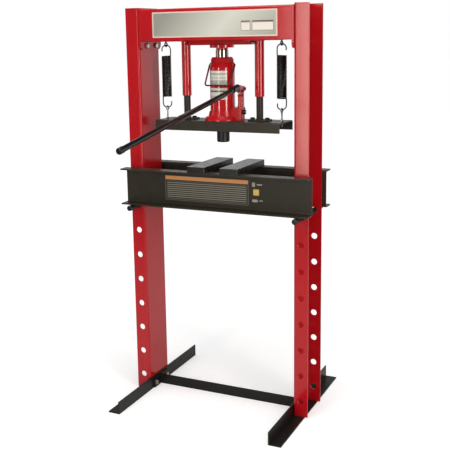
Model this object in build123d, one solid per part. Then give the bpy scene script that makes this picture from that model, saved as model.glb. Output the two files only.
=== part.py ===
from build123d import *
import os
from math import cos, radians, sin, sqrt, tan

os.makedirs("parts", exist_ok=True)

# A floor standing shop press with a hydraulic bottle jack, in millimetres.
# The origin is on the floor under the ram axis, X runs from the left upright to the
# right one, Y from front to back and Z up.

# Uprights: folded channels with the web inside and both flanges pointing outwards
total_height = 1500.0
half_span = 304.0
upright_flange = 55.0
upright_depth = 154.0
upright_wall = 4.5
bend_inner = 4.0

# Column of pin holes in the flanges
lowest_hole = 63.0
hole_pitch = 99.0
least_daylight = 60.0
pin_hole_radius = 11.5

# Feet and floor brace
foot_length = 644.0
foot_leg = 48.0
foot_wall = 4.5
brace_leg = 40.0
brace_wall = 4.0
brace_front = -4.0
brace_plate_wall = 5.0
brace_plate_width = 116.0
foot_bolt_spread = 43.0
foot_bolt_rise = 20.0

# Crosshead
crosshead_drop = 6.0
crosshead_depth = 115.0
crosshead_wall = 5.0
end_plate_wall = 8.0
end_plate_reach = 32.0
end_plate_corner = 20.0
crosshead_bolt_spread = 34.0
lower_bolt_rise = 14.0
bolt_row_gap = 101.0
thrust_length = 244.0
thrust_width = 60.0
thrust_wall = 8.0
thrust_reach = 18.0
tie_plate_wall = 6.0
tie_plate_length = 132.0
tie_plate_drop = 3.0
name_plate_length = 490.0
name_plate_height = 92.0
name_plate_wall = 0.8
name_plate_lift = 11.0
name_plate_corner = 2.0

# Carriage: inverted channel, guide rods and press pin
carriage_length = 496.0
carriage_width = 140.0
carriage_leg = 36.0
carriage_wall = 5.0
guide_spread = 147.0
rod_radius = 12.7
tube_radius = 17.4
tube_reach = 204.0
tube_chamfer = 1.0
rod_margin = 18.0
rod_chamfer = 1.5
running_clearance = 0.05
rod_plate_length = 80.0
rod_plate_width = 50.0
rod_plate_wall = 6.0
rod_plate_corner = 6.0
rod_bolt_spread = 29.0
press_pin_radius = 23.6
press_pin_reach = 45.0
press_pin_chamfer = 3.0

# Bottle jack
jack_height = 230.0
ram_showing = 25.0
ram_radius = 23.7
piston_radius = 25.0
piston_length = 26.0
piston_gap = 0.3
seal_height = 6.0
seal_depth = 3.0
head_plate_radius = 45.0
head_plate_wall = 10.0
head_collar_radius = 22.0
head_collar_height = 9.0
head_collar_chamfer = 1.0
cylinder_radius = 30.5
reservoir_radius = 46.3
reservoir_wall = 3.5
reservoir_neck = 40.0
shoulder_height = 17.0
top_nut_height = 20.0
top_nut_flats = 72.0
top_nut_turn = 20.0
top_nut_crown_start = 0.55
top_nut_crown_cut = 5.0
foot_radius = 68.0
foot_thickness = 13.0
foot_rim = 5.0
foot_draft = 4.0
seat_radius = 49.5
seat_height = 35.0
boss_end = 82.0
boss_start = 40.0
boss_front = -22.0
boss_back = 20.0
boss_height = 49.0
boss_corner = 8.0
plug_radius = 6.0
plug_drop = 34.0
plug_inside = 1.0
plug_rim = 2.0
plug_rim_wall = 2.0

# Pump, its lever and the handle
pump_x = 74.0
pump_y = -8.0
barrel_radius = 9.0
barrel_height = 47.5
collar_radius = 10.5
collar_height = 9.0
gland_flats = 20.0
barrel_floor = 4.0
plunger_radius = 6.0
plunger_floor_gap = 0.3
tongue_radius = 6.5
tongue_wall = 8.0
neck_gap = 2.2
lever_arm = 20.0
handle_swing = 35.0
yoke_throat = 12.5
fulcrum_rise = 115.0
link_pin_rise = 42.0
link_wall = 8.0
link_width = 12.0
link_slot_gap = 2.0
pivot_radius = 4.0
cheek_wall = 4.0
cheek_gap = 9.0
cheek_radius = 9.0
slot_clearance = 0.5
pivot_overhang = 2.5
pivot_head = 1.5
handle_slope = 8.57
handle_axis_rise = 17.0
socket_radius = 11.5
socket_length = 54.0
socket_start = 18.0
socket_plug = 6.0
handle_radius = 9.0
handle_wall = 2.0
handle_length = 824.0
cap_radius = 10.2
cap_length = 18.0
cap_wall = 5.0
cap_round = 4.6

# Release valve
valve_y = -3.0
valve_rise = 31.0
valve_radius = 5.0
valve_depth = 16.0
valve_head_radius = 8.5
valve_head_length = 10.0
valve_gap = 0.3
valve_tip_gap = 1.0
valve_slot = 2.5

# Carrying bail
bail_wire = 3.0
bail_half_width = 51.0
bail_pivot_drop = 27.0
bail_length = 89.0
bail_corner = 10.0
bail_tip_bend = 3.5
bail_rest_gap = 0.3
ear_half_width = 6.5
ear_height = 15.0
ear_end = 47.3
ear_root = 4.0
ear_corner = 5.5
bail_taper = 2.0
bail_tip_gap = 4.2

# Return springs and their eyebolts
spring_spread = 232.0
spring_radius = 18.5
spring_wire = 2.25
spring_turns = 34
eye_radius = 7.0
eye_wire = 2.5
eye_drop = 14.0
eye_rise = 40.0
eye_shank = 3.0
upper_shank = 20.0
lower_shank_reach = 14.0
eye_play = 0.35
hook_turn = 20.0
hook_bend = 0.73
hook_shoulder = 0.76
hook_tip = 0.3
ridge_depth = 0.45
eye_turn = -8.0

# Press bed
bed_overhang = 15.0
bed_height = 138.0
bed_leg = 53.0
bed_wall = 5.0
bed_side_gap = 0.5
bed_seat_gap = 0.2
spacer_wall = 6.0
spacer_height = 90.0
spacer_inset = 12.0
bed_pin_radius = 10.5
bed_pin_length = 292.0
bed_pin_gap = 0.1
bed_pin_chamfer = 2.0
plate_length = 262.0
plate_width = 70.5
plate_thickness = 22.0
left_plate_x = -54.5
right_plate_x = 76.5
plate_chamfer = 1.5

# Fasteners: thread radius, width across flats and head height
m6 = (3.0, 10.0, 4.5)
m10 = (5.0, 16.0, 6.5)
m12 = (6.0, 18.0, 7.5)
bolt_hole_gap = 0.5
thread_stub = 3.0
crown_start = 0.8
crown_cut = 1.0

# How far a cutting solid runs past the face it opens
overcut = 1.0

# Heights and places worked out from the sizes above
crosshead_top = total_height - crosshead_drop
crosshead_bottom = crosshead_top - crosshead_depth
crosshead_half = half_span - end_plate_wall
thrust_bottom = crosshead_bottom - thrust_reach
ram_top = thrust_bottom - head_plate_wall - head_collar_height
jack_top = ram_top - ram_showing
carriage_top = jack_top - jack_height
web_under = carriage_top - carriage_wall
carriage_bottom = carriage_top - carriage_leg
nose = carriage_bottom - press_pin_reach
hole_x = half_span + upright_flange / 2
top_hole_limit = nose - least_daylight - plate_thickness - bed_height - bed_pin_radius
hole_rows = 1 + int((top_hole_limit - lowest_hole) / hole_pitch)
pin_hole_z = lowest_hole + (hole_rows - 1) * hole_pitch
bed_pin_z = pin_hole_z - (pin_hole_radius - bed_pin_radius) + bed_pin_gap
bed_bottom = bed_pin_z + bed_pin_radius + bed_seat_gap
bed_top = bed_bottom + bed_height
bed_inner = upright_depth / 2 + bed_side_gap
bed_length = 2 * (half_span + upright_flange + bed_overhang)
lower_bolt_z = crosshead_bottom - end_plate_reach + lower_bolt_rise
bolt_rows = (lower_bolt_z, lower_bolt_z + bolt_row_gap)
beam_inside = upright_depth / 2 - crosshead_wall
beam_web_under = crosshead_top - crosshead_wall
tie_plate_z = crosshead_bottom - tie_plate_drop
tube_bottom = crosshead_bottom - tube_reach
upper_eye_z = tie_plate_z - eye_drop + eye_wire
lower_eye_z = carriage_top + eye_rise
hook_offset = eye_radius - eye_wire - spring_wire - eye_play
upper_apex = upper_eye_z - hook_offset
lower_apex = lower_eye_z + hook_offset
coil_length = spring_turns * 2 * spring_wire
coil_middle = (upper_apex + lower_apex) / 2
fulcrum_y = pump_y + lever_arm
fulcrum_z = carriage_top + fulcrum_rise
lever_dip = handle_swing / 2
plunger_pin_z = fulcrum_z - lever_arm * tan(radians(lever_dip))
boss_top = carriage_top + boss_height
valve_z = carriage_top + valve_rise
link_pin_z = carriage_top + link_pin_rise
link_pin_start = 2 * pump_x - boss_end
bail_z = jack_top - bail_pivot_drop
bail_lean = reservoir_radius + bail_wire + bail_rest_gap
bail_hang = sqrt(bail_length**2 - bail_lean**2)


def save(shape, node):
    export_step(shape, f"parts/{node}.step")


def channel_face(width, leg, wall):
    """Folded channel: the web lies on local x = 0 and both legs run to x = leg."""
    bend_outer = bend_inner + wall
    outer = Pos(leg / 2, 0) * Rectangle(leg, width)
    outer = fillet(outer.vertices().sort_by(Axis.X)[:2], bend_outer)
    inner = Pos(wall + leg / 2, 0) * Rectangle(leg, width - 2 * wall)
    inner = fillet(inner.vertices().sort_by(Axis.X)[:2], bend_inner)
    return outer - inner


def angle_face(leg, wall):
    """Square angle with its corner at the local origin and legs along x and y."""
    outer = Pos(leg / 2, leg / 2) * Rectangle(leg, leg)
    return outer - Pos(wall + leg / 2, wall + leg / 2) * Rectangle(leg, leg)


def along_x(face, length):
    """Stand a local face in the plane across X, centred on X = 0."""
    return extrude(Plane(origin=(-length / 2, 0, 0), x_dir=(0, 1, 0), z_dir=(1, 0, 0)) * face, length)


def rod_x(radius, x0, x1, y, z):
    return Pos((x0 + x1) / 2, y, z) * Rot(0, 90, 0) * Cylinder(radius, abs(x1 - x0))


def rod_y(radius, y0, y1, x, z):
    return Pos(x, (y0 + y1) / 2, z) * Rot(90, 0, 0) * Cylinder(radius, abs(y1 - y0))


def rod_z(radius, z0, z1, x=0.0, y=0.0):
    return Pos(x, y, (z0 + z1) / 2) * Cylinder(radius, abs(z1 - z0))


def turned(points):
    """Solid of revolution about Z from a closed outline of (radius, height) points."""
    outline = Polyline(*[(r, 0, z) for r, z in points], close=True)
    return revolve(make_face(outline), Axis.Z, 360)


def hex_bolt(thread, grip):
    """Bolt with its head above z = 0 and its shank running down through the grip."""
    radius, flats, head = thread
    top = extrude(RegularPolygon(flats / 2, 6, major_radius=False), head)
    corner = flats / 2 / cos(radians(30))
    crown = turned([
        (0, -overcut), (corner, -overcut), (corner, head * crown_start),
        (flats / 2 - crown_cut, head), (0, head),
    ])
    return (top & crown) + rod_z(radius, -grip, 0)


def hex_nut(thread):
    """Nut with its lower face on z = 0."""
    radius, flats, head = thread
    body = extrude(RegularPolygon(flats / 2, 6, major_radius=False), head)
    return body - rod_z(radius, -overcut, head + overcut)


def side_bolts(thread, grip, inner_x, places):
    """Bolts across each upright: heads towards the middle, shanks pointing outwards."""
    bolts = []
    for side in (-1, 1):
        for y, z in places:
            turn = Rot(0, -90 * side, 0)
            bolts.append(Pos(side * inner_x, y, z) * turn * hex_bolt(thread, grip))
    return bolts


def side_nuts(thread, outer_x, places):
    nuts = []
    for side in (-1, 1):
        for y, z in places:
            nuts.append(Pos(side * outer_x, y, z) * Rot(0, 90 * side, 0) * hex_nut(thread))
    return nuts


def drill_x(shape, radius, places, x0, x1):
    for y, z in places:
        shape -= rod_x(radius, x0, x1, y, z)
    return shape


crosshead_bolt_places = [(y, z) for y in (-crosshead_bolt_spread, crosshead_bolt_spread) for z in bolt_rows]
foot_bolt_places = [(y, foot_bolt_rise) for y in (-foot_bolt_spread, foot_bolt_spread)]
crosshead_bore = m12[0] + bolt_hole_gap
foot_bore = m10[0] + bolt_hole_gap


def upright(side):
    """One folded upright standing on its foot, with pin holes and bolt holes."""
    face = channel_face(upright_depth, upright_flange, upright_wall)
    body = extrude(face, total_height - foot_wall)
    body = Pos(side * half_span, 0, foot_wall) * Rot(0, 0, 0 if side > 0 else 180) * body
    for row in range(hole_rows):
        z = lowest_hole + row * hole_pitch
        body -= rod_y(pin_hole_radius, -upright_depth, upright_depth, side * hole_x, z)
    inner = side * (half_span - upright_wall)
    outer = side * (half_span + 2 * upright_wall)
    body = drill_x(body, foot_bore, foot_bolt_places, inner, outer)
    return drill_x(body, crosshead_bore, crosshead_bolt_places, inner, outer)


def foot(side):
    """Rolled angle under an upright: one leg up its web, the other flat on the floor."""
    face = angle_face(foot_leg, foot_wall)
    plane = Plane(origin=(0, -foot_length / 2, 0), x_dir=(1, 0, 0), z_dir=(0, -1, 0))
    body = extrude(plane * face, -foot_length)
    body = Pos(half_span - foot_wall, 0, 0) * body
    body = drill_x(body, foot_bore, foot_bolt_places, half_span - 2 * foot_wall, half_span + foot_wall)
    return body if side > 0 else mirror(body, Plane.YZ)


def floor_brace():
    """Welded angle with a bolted plate at each end, between the two feet."""
    inner = half_span - foot_wall - brace_plate_wall
    bar = along_x(angle_face(brace_leg, brace_wall), 2 * inner)
    bar = Pos(0, brace_front, 0) * bar
    for side in (-1, 1):
        middle = side * (inner + brace_plate_wall / 2)
        plate = Pos(middle, 0, brace_leg / 2) * Box(brace_plate_wall, brace_plate_width, brace_leg)
        edges = plate.edges().filter_by(Axis.X)
        plate = fillet(edges, brace_wall)
        bar += drill_x(plate, foot_bore, foot_bolt_places, middle - brace_plate_wall, middle + brace_plate_wall)
    return bar


def crosshead_beam():
    """Folded plate: top web with a front and a back flange hanging down."""
    face = channel_face(upright_depth, crosshead_depth, crosshead_wall)
    plane = Plane(origin=(-crosshead_half, 0, crosshead_top), x_dir=(0, 0, -1), z_dir=(1, 0, 0))
    return extrude(plane * face, 2 * crosshead_half)


def end_plates():
    plates = []
    bottom = crosshead_bottom - end_plate_reach
    height = crosshead_top - bottom
    for side in (-1, 1):
        middle = side * (half_span - end_plate_wall / 2)
        plate = Pos(middle, 0, bottom + height / 2) * Box(end_plate_wall, upright_depth, height)
        low = plate.edges().filter_by(Axis.X).sort_by(Axis.Z)[:2]
        plate = fillet(low, end_plate_corner)
        x0 = middle - end_plate_wall
        x1 = middle + end_plate_wall
        plates.append(drill_x(plate, crosshead_bore, crosshead_bolt_places, x0, x1))
    return Compound(plates)


def thrust_box():
    """Box section under the beam's web that takes the load of the ram."""
    height = beam_web_under - thrust_bottom
    outer = Pos(0, 0, thrust_bottom + height / 2) * Box(thrust_length, thrust_width, height)
    hollow = Box(thrust_length + 2 * overcut, thrust_width - 2 * thrust_wall, height - 2 * thrust_wall)
    return outer - Pos(0, 0, thrust_bottom + height / 2) * hollow


def tie_plate(side):
    """Plate across the open underside of the beam for a guide tube and a spring eyebolt."""
    inner_x = thrust_length / 2
    body = Box(tie_plate_length, 2 * beam_inside, tie_plate_wall)
    body = Pos(side * (inner_x + tie_plate_length / 2), 0, tie_plate_z + tie_plate_wall / 2) * body
    low = tie_plate_z - overcut
    high = tie_plate_z + tie_plate_wall + overcut
    body -= rod_z(tube_radius, low, high, side * guide_spread)
    return body - rod_z(eye_shank, low, high, side * spring_spread)


def guide_tube(side):
    body = rod_z(tube_radius, tube_bottom, beam_web_under, side * guide_spread)
    body = chamfer(body.edges().sort_by(Axis.Z)[0], tube_chamfer)
    bore = rod_radius + running_clearance
    return body - rod_z(bore, tube_bottom - overcut, beam_web_under + overcut, side * guide_spread)


def name_plate():
    middle = crosshead_bottom + name_plate_lift + name_plate_height / 2
    body = Box(name_plate_length, name_plate_wall, name_plate_height)
    body = fillet(body.edges().filter_by(Axis.Y), name_plate_corner)
    return Pos(0, -upright_depth / 2 - name_plate_wall / 2, middle) * body


def eyebolt(x, eye_z, shank_end):
    """Forged eye in a vertical plane, with a threaded shank."""
    ring = Rot(0, 0, eye_turn) * Rot(0, 90, 0) * Torus(eye_radius, eye_wire)
    up = 1 if shank_end > eye_z else -1
    shank = rod_z(eye_shank, up * eye_radius, shank_end - eye_z)
    return Pos(x, 0, eye_z) * (ring + shank)


def hook(side, up):
    """Round wire from the end coil over the eye, open at its tip."""
    reach = (upper_apex - lower_apex - coil_length) / 2
    mean = spring_radius - spring_wire
    start = side * mean
    root = -2 * spring_wire
    bend = start * hook_bend
    path = Spline(
        (start, 0, root),
        (start, 0, reach * hook_tip),
        (bend, 0, reach * hook_shoulder),
        (0, 0, reach),
        (-bend, 0, reach * hook_shoulder),
        (-start, 0, reach * hook_tip),
    )
    wire = sweep(Plane(origin=path @ 0, z_dir=path % 0) * Circle(spring_wire), path=path)
    return Rot(0, 0, hook_turn) * (wire if up else Rot(0, 180, 0) * wire)


def return_spring(side):
    """Close wound extension spring: one ridge for each turn, and a hook at each end."""
    mean = spring_radius - spring_wire
    rings = []
    low = -coil_length / 2
    for turn in range(spring_turns):
        z = low + 2 * spring_wire * turn
        rings += [(mean + ridge_depth * spring_wire, z), (mean + spring_wire, z + spring_wire)]
    high = low + coil_length
    rings += [(mean + ridge_depth * spring_wire, high), (mean - spring_wire, high), (mean - spring_wire, low)]
    coil = turned(rings)
    body = coil + Pos(0, 0, coil_length / 2) * hook(-side, True)
    body += Pos(0, 0, -coil_length / 2) * hook(-side, False)
    return Pos(side * spring_spread, 0, coil_middle) * body


def ram_head():
    """Turned pressure pad between the ram and the thrust box."""
    edge = head_collar_chamfer
    return Pos(0, 0, ram_top) * turned([
        (0, 0), (head_collar_radius - edge, 0), (head_collar_radius, edge),
        (head_collar_radius, head_collar_height), (head_plate_radius, head_collar_height),
        (head_plate_radius, head_collar_height + head_plate_wall), (0, head_collar_height + head_plate_wall),
    ])


cylinder_floor = carriage_top + foot_thickness
ram_bottom = cylinder_floor + piston_gap
seal_z = ram_bottom + piston_length / 2 - seal_height / 2
piston_face = piston_radius - running_clearance


def jack_ram():
    """Ground ram with its piston, grooved for the seal."""
    groove = piston_face - seal_depth
    return turned([
        (0, ram_bottom), (piston_face, ram_bottom), (piston_face, seal_z), (groove, seal_z),
        (groove, seal_z + seal_height), (piston_face, seal_z + seal_height),
        (piston_face, ram_bottom + piston_length), (ram_radius, ram_bottom + piston_length),
        (ram_radius, ram_top), (0, ram_top),
    ])


def piston_seal():
    ring = rod_z(piston_face, seal_z, seal_z + seal_height)
    return ring - rod_z(piston_face - seal_depth, seal_z, seal_z + seal_height)


def jack_cylinder():
    """Pressure cylinder standing inside the reservoir."""
    top = jack_top - top_nut_height
    body = rod_z(cylinder_radius, cylinder_floor, top)
    return body - rod_z(piston_radius, cylinder_floor - overcut, top + overcut)


reservoir_bottom = carriage_top + seat_height
reservoir_top = jack_top - top_nut_height


def reservoir_outline(extra):
    """Outline of the reservoir's outside, grown by a wall thickness or cut back by it."""
    side = reservoir_radius + extra
    neck = reservoir_neck + extra
    return [
        (0, reservoir_bottom), (side, reservoir_bottom), (side, reservoir_top - shoulder_height),
        (neck, reservoir_top), (0, reservoir_top),
    ]


def jack_reservoir():
    """Drawn tube with a tapered shoulder, open at both ends."""
    body = turned(reservoir_outline(0)) - turned(reservoir_outline(-reservoir_wall))
    z = reservoir_top - plug_drop
    return body - rod_y(plug_radius, 0, reservoir_radius + overcut, 0, z)


def oil_plug():
    """Rubber filler plug at the back of the reservoir."""
    z = reservoir_top - plug_drop
    inner = reservoir_radius - reservoir_wall - plug_inside
    outer = reservoir_radius + plug_rim_wall
    rim = rod_y(plug_radius + plug_rim, reservoir_radius, outer, 0, z)
    return rod_y(plug_radius, inner, outer, 0, z) + rim


def jack_top_nut():
    """Large hexagon gland nut that closes the jack, bored for the ram."""
    hexagon = extrude(RegularPolygon(top_nut_flats / 2, 6, major_radius=False), top_nut_height)
    corner = top_nut_flats / 2 / cos(radians(30))
    crown = turned([
        (0, 0), (corner, 0), (corner, top_nut_height * top_nut_crown_start),
        (corner - top_nut_crown_cut, top_nut_height), (0, top_nut_height),
    ])
    body = Pos(0, 0, reservoir_top) * ((Rot(0, 0, top_nut_turn) * hexagon) & crown)
    return body - rod_z(ram_radius + running_clearance, reservoir_top - overcut, jack_top + overcut)


def jack_base():
    """Cast base: round foot, tapered seat and a boss for the pump, link and valve."""
    body = turned([
        (0, carriage_top), (foot_radius, carriage_top), (foot_radius, carriage_top + foot_rim),
        (foot_radius - foot_draft, carriage_top + foot_thickness),
        (seat_radius + foot_draft, carriage_top + foot_thickness + foot_draft),
        (seat_radius, reservoir_bottom), (0, reservoir_bottom),
    ])
    length = boss_end - boss_start
    boss = Box(length, boss_back - boss_front, boss_height)
    boss = fillet(boss.edges().filter_by(Axis.Z), boss_corner)
    body += Pos(boss_start + length / 2, (boss_front + boss_back) / 2, carriage_top + boss_height / 2) * boss
    body -= rod_z(reservoir_radius, reservoir_bottom, boss_top + overcut)
    body -= rod_z(cylinder_radius, cylinder_floor, reservoir_bottom + overcut)
    slot_floor = link_pin_z - link_width / 2 - link_slot_gap
    slot_start = fulcrum_y - link_width / 2 - link_slot_gap
    slot_length = boss_back + overcut - slot_start
    slot_height = boss_top + overcut - slot_floor
    slot = Box(cheek_gap, slot_length, slot_height)
    body -= Pos(pump_x, slot_start + slot_length / 2, slot_floor + slot_height / 2) * slot
    body -= rod_x(pivot_radius, link_pin_start, boss_end + overcut, fulcrum_y, link_pin_z)
    bore = valve_radius + running_clearance
    return body - rod_x(bore, boss_end - valve_depth, boss_end + overcut, valve_y, valve_z)


def pump_cylinder():
    """Small pump barrel screwed into the boss, with a collar at each end."""
    top = boss_top + barrel_height
    body = rod_z(barrel_radius, boss_top, top, pump_x, pump_y)
    body += rod_z(collar_radius, boss_top, boss_top + collar_height, pump_x, pump_y)
    gland = extrude(RegularPolygon(gland_flats / 2, 6, major_radius=False), collar_height)
    body += Pos(pump_x, pump_y, top - collar_height) * gland
    bore = plunger_radius + running_clearance
    return body - rod_z(bore, boss_top + barrel_floor, top + overcut, pump_x, pump_y)


def flat_bar_yz(places, radius, wall, x):
    """Flat link across X with round ends at the given (y, z) places."""
    edges = []
    for y, z in places:
        edges += (Pos(y, z) * Circle(radius)).edges()
    face = make_hull(edges)
    plane = Plane(origin=(x, 0, 0), x_dir=(0, 1, 0), z_dir=(1, 0, 0))
    return extrude(plane * face, wall / 2, both=True)


def fulcrum_link():
    """Link between the boss and the lever's fulcrum, with the fulcrum pin pressed in."""
    low = (fulcrum_y, link_pin_z)
    high = (fulcrum_y, fulcrum_z)
    body = flat_bar_yz([low, high], link_width / 2, link_wall, pump_x)
    for y, z in (low, high):
        body -= rod_x(pivot_radius, pump_x - link_wall, pump_x + link_wall, y, z)
    return body


def pivot_pin(y, z, reach):
    """Plain pin through the lever with a thin round head at its right end."""
    body = rod_x(pivot_radius, pump_x - reach, pump_x + reach, y, z)
    return body + rod_x(pivot_radius + pivot_head, pump_x + reach, pump_x + reach + pivot_head, y, z)


cheek_reach = cheek_gap / 2 + cheek_wall + pivot_overhang


def pump_plunger():
    """Plunger rod with a flat eye at its top and the lever's cross pin through it."""
    bottom = boss_top + barrel_floor + plunger_floor_gap
    neck_z = plunger_pin_z - cheek_radius - neck_gap
    body = rod_z(plunger_radius, bottom, neck_z, pump_x, pump_y)
    tongue = flat_bar_yz([(pump_y, plunger_pin_z), (pump_y, neck_z)], tongue_radius, tongue_wall, pump_x)
    body += tongue - rod_z(2 * tongue_radius, neck_z - 3 * tongue_radius, neck_z, pump_x, pump_y)
    return body - rod_x(pivot_radius, pump_x - tongue_radius, pump_x + tongue_radius, pump_y, plunger_pin_z)


handle_down = radians(handle_slope)
handle_dir = (0.0, -cos(handle_down), -sin(handle_down))
axis_point = (pump_x, pump_y, plunger_pin_z + handle_axis_rise)


def on_axis(distance):
    return tuple(p + distance * d for p, d in zip(axis_point, handle_dir))


def handle_rod(radius, start, end):
    plane = Plane(origin=on_axis(start), x_dir=(1, 0, 0), z_dir=handle_dir)
    return extrude(plane * Circle(radius), end - start)


def socket_yoke():
    """Two cheeks joined ahead of the pump: bored at the fulcrum and slotted for the plunger."""
    _, tube_y, tube_z = on_axis(socket_start + socket_plug)
    places = [(fulcrum_y, fulcrum_z), (pump_y, plunger_pin_z), (tube_y, tube_z)]
    body = flat_bar_yz(places, cheek_radius, cheek_gap + 2 * cheek_wall, pump_x)
    low = plunger_pin_z - 3 * tongue_radius
    high = fulcrum_z + 3 * tongue_radius
    front = pump_y - yoke_throat
    back = fulcrum_y + 2 * cheek_radius
    gap = Box(cheek_gap, back - front, high - low)
    body -= Pos(pump_x, (back + front) / 2, (high + low) / 2) * gap
    bore = pivot_radius + running_clearance
    body -= rod_x(bore, pump_x - 4 * cheek_wall, pump_x + 4 * cheek_wall, fulcrum_y, fulcrum_z)
    furthest = lever_arm / cos(radians(lever_dip))
    middle = (lever_arm + furthest) / 2
    half = (furthest - lever_arm) / 2 + slot_clearance
    dip = radians(lever_dip)
    ends = []
    for reach in (middle - half, middle + half):
        ends.append((fulcrum_y - reach * cos(dip), fulcrum_z - reach * sin(dip)))
    slot = flat_bar_yz(ends, pivot_radius + slot_clearance, cheek_gap + 4 * cheek_wall, pump_x)
    body -= slot
    end = Plane(origin=on_axis(socket_start + socket_plug), x_dir=(1, 0, 0), z_dir=handle_dir)
    return split(body, bisect_by=end, keep=Keep.BOTTOM)


def socket_tube():
    """Blind tube on the front of the yoke that takes the handle."""
    start = socket_start + socket_plug
    body = handle_rod(socket_radius, start, socket_start + socket_length)
    return body - handle_rod(handle_radius, start + socket_plug, socket_start + socket_length + overcut)


handle_start = socket_start + 2 * socket_plug
handle_end = handle_start + handle_length


def pump_handle():
    body = handle_rod(handle_radius, handle_start, handle_end)
    return body - handle_rod(handle_radius - handle_wall, handle_start - overcut, handle_end + overcut)


def handle_cap():
    """Moulded cap over the free end of the handle."""
    outer = handle_rod(cap_radius, handle_end - cap_length, handle_end + cap_wall)
    far = outer.edges().filter_by(GeomType.CIRCLE).sort_by(Axis.Y)[0]
    outer = fillet(far, cap_round)
    return outer - handle_rod(handle_radius, handle_end - cap_length - overcut, handle_end)


def release_valve():
    """Screw valve in the side of the boss, slotted across its head."""
    start = boss_end - valve_depth + valve_tip_gap
    head_start = boss_end + valve_gap
    head_end = head_start + valve_head_length
    body = rod_x(valve_radius, start, head_start, valve_y, valve_z)
    body += rod_x(valve_head_radius, head_start, head_end, valve_y, valve_z)
    cut = Box(valve_head_length, 3 * valve_head_radius, valve_slot)
    return body - Pos(head_end, valve_y, valve_z) * cut


def bail_ears():
    """Lugs on the reservoir's shoulder that hold the ends of the bail."""
    shoulder = turned(reservoir_outline(0))
    nut_clear = rod_z(reservoir_neck, reservoir_top, jack_top)
    ears = []
    for side in (-1, 1):
        start = reservoir_neck - ear_root
        ear = Box(ear_end - start, 2 * ear_half_width, ear_height)
        ear = fillet(ear.edges().filter_by(Axis.X).sort_by(Axis.Z)[2:], ear_corner)
        ear = Pos(side * (start + ear_end) / 2, 0, bail_z) * ear
        ear = ear - shoulder - nut_clear
        ear -= rod_x(bail_wire + running_clearance, -bail_half_width, bail_half_width, 0, bail_z)
        ears.append(ear)
    return Compound(ears)


def carry_bail():
    """Bent wire handle: both ends turn in through the ears, the bar rests on the reservoir."""
    lean = (0, -bail_lean, -bail_hang)
    tip = reservoir_neck + bail_tip_gap
    path = FilletPolyline(
        (tip, 0, 0), (bail_half_width, 0, 0), (bail_half_width - bail_taper, lean[1], lean[2]),
        (-bail_half_width + bail_taper, lean[1], lean[2]), (-bail_half_width, 0, 0), (-tip, 0, 0),
        radius=[bail_tip_bend, bail_corner, bail_corner, bail_tip_bend],
    )
    wire = sweep(Plane(origin=path @ 0, z_dir=path % 0) * Circle(bail_wire), path=path)
    return Pos(0, 0, bail_z) * wire


rod_bolt_bore = m10[0] + bolt_hole_gap


def carriage_channel():
    """Inverted folded channel, drilled for the rod bolts and the spring eyebolts."""
    face = channel_face(carriage_width, carriage_leg, carriage_wall)
    plane = Plane(origin=(-carriage_length / 2, 0, carriage_top), x_dir=(0, 0, -1), z_dir=(1, 0, 0))
    body = extrude(plane * face, carriage_length)
    for side in (-1, 1):
        for offset in (-rod_bolt_spread, rod_bolt_spread):
            x = side * guide_spread + offset
            body -= rod_z(rod_bolt_bore, web_under - overcut, carriage_top + overcut, x)
        body -= rod_z(eye_shank, web_under - overcut, carriage_top + overcut, side * spring_spread)
    return body


rod_plate_top = carriage_top + rod_plate_wall
rod_top = beam_web_under - rod_margin


def guide_rod(side):
    body = rod_z(rod_radius, rod_plate_top, rod_top, side * guide_spread)
    return chamfer(body.edges().sort_by(Axis.Z)[-1], rod_chamfer)


def rod_plates():
    plates = []
    for side in (-1, 1):
        plate = Box(rod_plate_length, rod_plate_width, rod_plate_wall)
        plate = fillet(plate.edges().filter_by(Axis.Z), rod_plate_corner)
        plate = Pos(side * guide_spread, 0, carriage_top + rod_plate_wall / 2) * plate
        for offset in (-rod_bolt_spread, rod_bolt_spread):
            x = side * guide_spread + offset
            plate -= rod_z(rod_bolt_bore, carriage_top - overcut, rod_plate_top + overcut, x)
        plates.append(plate)
    return Compound(plates)


def rod_bolts():
    grip = rod_plate_wall + carriage_wall + m10[2] + thread_stub
    bolts = []
    for side in (-1, 1):
        for offset in (-rod_bolt_spread, rod_bolt_spread):
            bolts.append(Pos(side * guide_spread + offset, 0, rod_plate_top) * hex_bolt(m10, grip))
    return Compound(bolts)


def rod_nuts():
    nuts = []
    for side in (-1, 1):
        for offset in (-rod_bolt_spread, rod_bolt_spread):
            nuts.append(Pos(side * guide_spread + offset, 0, web_under - m10[2]) * hex_nut(m10))
    return Compound(nuts)


def press_pin():
    """Hardened pin welded under the carriage's web; it meets the work."""
    edge = press_pin_chamfer
    return turned([
        (0, nose), (press_pin_radius - edge, nose), (press_pin_radius, nose + edge),
        (press_pin_radius, web_under), (0, web_under),
    ])


def lower_eyebolts():
    end = web_under - lower_shank_reach
    return Compound([eyebolt(side * spring_spread, lower_eye_z, end) for side in (-1, 1)])


def upper_eyebolts():
    end = tie_plate_z + tie_plate_wall + upper_shank
    return Compound([eyebolt(side * spring_spread, upper_eye_z, end) for side in (-1, 1)])


def nuts_at_springs(heights):
    nuts = []
    for side in (-1, 1):
        for z in heights:
            nuts.append(Pos(side * spring_spread, 0, z) * hex_nut(m6))
    return Compound(nuts)


def bed_channel(side):
    """Rolled channel on the front or back of the uprights, flanges pointing away."""
    face = channel_face(bed_height, bed_leg, bed_wall)
    middle = bed_bottom + bed_height / 2
    plane = Plane(origin=(0, 0, middle), x_dir=(0, side, 0), z_dir=(-side, 0, 0))
    body = extrude(plane * face, bed_length / 2, both=True)
    return Pos(0, side * bed_inner, 0) * body


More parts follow.
